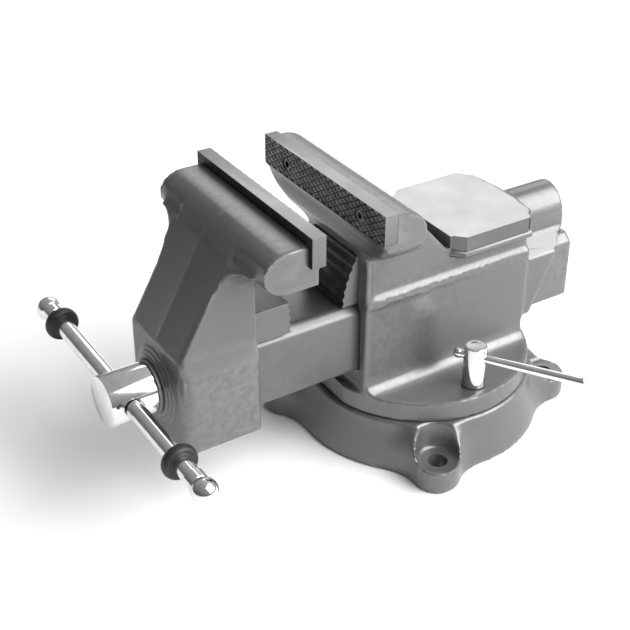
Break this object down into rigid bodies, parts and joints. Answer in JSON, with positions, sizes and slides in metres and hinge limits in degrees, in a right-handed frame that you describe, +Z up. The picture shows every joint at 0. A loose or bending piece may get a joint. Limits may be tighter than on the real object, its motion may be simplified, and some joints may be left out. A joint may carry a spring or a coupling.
{
  "type": "swivel bench vise",
  "caption": "Bench vise with serrated jaw plates, pipe jaws, an anvil and a round tail, opened by a screw with a sliding handle bar, on a round swivel base with lugs and lock bolts.",
  "frame": {"origin": "swivel axis in the plane of the bench, under the base", "axes": "+Z up along the swivel axis, -X toward the handle at the front, +Y toward the side away from the viewer, along the jaws"},
  "size_m": [0.4191, 0.3034, 0.24],
  "materials": {
    "body_enamel": "satin grey enamel on cast iron",
    "jaw_enamel": "satin dark grey enamel on cast iron",
    "base_enamel": "satin grey enamel on cast iron",
    "plate_steel": "ground steel with a diamond-cut gripping face",
    "pipe_jaw_steel": "dark hardened steel",
    "screw_steel": "dark steel screws",
    "chrome": "bright chrome plate",
    "rubber": "black rubber",
    "bolt_steel": "plain zinc plated steel",
    "nut_iron": "bare cast iron"
  },
  "bodies": {
    "base": {"swivel_base": "base_enamel"},
    "body": {"vise_body": "body_enamel", "rear_jaw_plate": "plate_steel", "rear_plate_screws": "screw_steel", "rear_pipe_jaw": "pipe_jaw_steel", "pivot_bolt": "bolt_steel", "pivot_washer": "bolt_steel", "spindle_nut": "nut_iron", "nut_bolt": "bolt_steel"},
    "jaw": {"moving_jaw": "jaw_enamel", "front_jaw_plate": "plate_steel", "front_plate_screws": "screw_steel", "front_pipe_jaw": "pipe_jaw_steel"},
    "screw": {"spindle": "chrome", "thrust_washer": "bolt_steel", "spindle_retainer": "bolt_steel", "retainer_pin": "bolt_steel"},
    "handle": {"handle_bar": "chrome", "handle_cap_far": "chrome", "handle_cap_near": "chrome", "bumper_far_side": "rubber", "bumper_near_side": "rubber"},
    "near_lock": {"near_lock_bolt": "chrome"},
    "near_bar": {"near_lock_bar": "chrome"},
    "near_nut": {"near_clamp_nut": "nut_iron"},
    "far_lock": {"far_lock_bolt": "chrome"},
    "far_bar": {"far_lock_bar": "chrome"},
    "far_nut": {"far_clamp_nut": "nut_iron"}
  },
  "joints": [
    {"name": "swivel", "type": "hinge", "parent": "base", "child": "body", "pos_m": [0, 0, 0.05], "axis": [0, 0, 1], "continuous": true},
    {"name": "jaw_slide", "type": "slide", "parent": "body", "child": "jaw", "axis": [1, 0, 0], "range_m": [-0.105, 0.0465]},
    {"name": "screw_turn", "type": "hinge", "parent": "jaw", "child": "screw", "pos_m": [-0.2, 0, 0.104], "axis": [1, 0, 0], "continuous": true},
    {"name": "handle_slide", "type": "slide", "parent": "screw", "child": "handle", "axis": [0, 1, 0], "range_m": [-0.089, 0.065]},
    {"name": "near_lock_turn", "type": "hinge", "parent": "body", "child": "near_lock", "pos_m": [0, -0.0765, 0.08], "axis": [0, 0, 1], "range_deg": [-100, 60]},
    {"name": "near_bar_slide", "type": "slide", "parent": "near_lock", "child": "near_bar", "axis": [0.5592, -0.829, 0], "range_m": [-0.012, 0]},
    {"name": "near_nut_lift", "type": "slide", "parent": "body", "child": "near_nut", "axis": [0, 0, 1], "range_m": [-0.0004, 0.0006]},
    {"name": "far_lock_turn", "type": "hinge", "parent": "body", "child": "far_lock", "pos_m": [0, 0.0765, 0.08], "axis": [0, 0, 1], "range_deg": [-100, 60]},
    {"name": "far_bar_slide", "type": "slide", "parent": "far_lock", "child": "far_bar", "axis": [-0.5592, 0.829, 0], "range_m": [-0.012, 0]},
    {"name": "far_nut_lift", "type": "slide", "parent": "body", "child": "far_nut", "axis": [0, 0, 1], "range_m": [-0.0004, 0.0006]}
  ],
  "couplings": [
    {"joint": "screw_turn", "follows": "jaw_slide", "rad_per_m": 989.48},
    {"joint": "near_nut_lift", "follows": "near_lock_turn", "m_per_rad": -0.00031831},
    {"joint": "far_nut_lift", "follows": "far_lock_turn", "m_per_rad": -0.00031831}
  ]
}
